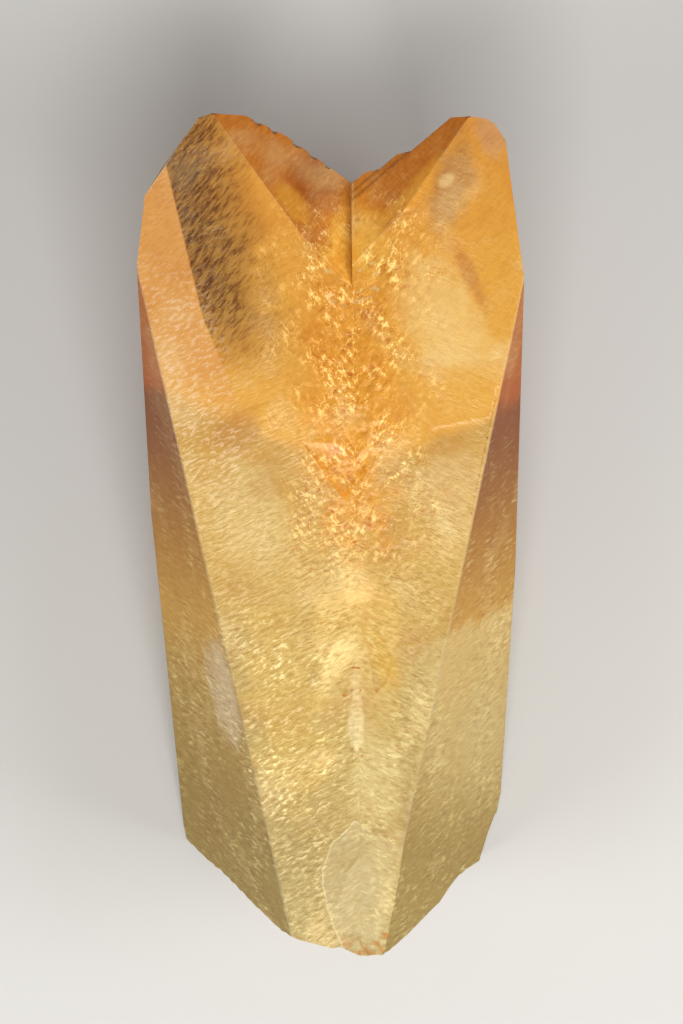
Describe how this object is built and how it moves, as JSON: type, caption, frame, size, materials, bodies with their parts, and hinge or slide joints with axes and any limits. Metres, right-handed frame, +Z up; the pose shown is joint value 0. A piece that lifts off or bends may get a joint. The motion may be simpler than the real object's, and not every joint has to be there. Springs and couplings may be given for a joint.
{
  "type": "calcite crystal",
  "caption": "Clear amber calcite crystal, a contact twin with a notched end, flat front and broken base, lying on its flat back.",
  "frame": {"origin": "on the surface that the crystal rests on, below the middle of its bounding box", "axes": "+Y along the length toward the notched end, +Z up, out of the broad front face, +X to the right seen from the front with the notch at the top"},
  "size_m": [0.0688, 0.1502, 0.0543],
  "materials": {
    "calcite": "clear amber crystal, paler toward the broken end, glossy with fine etched relief"
  },
  "bodies": {
    "root": {"crystal": "calcite"}
  },
  "joints": []
}
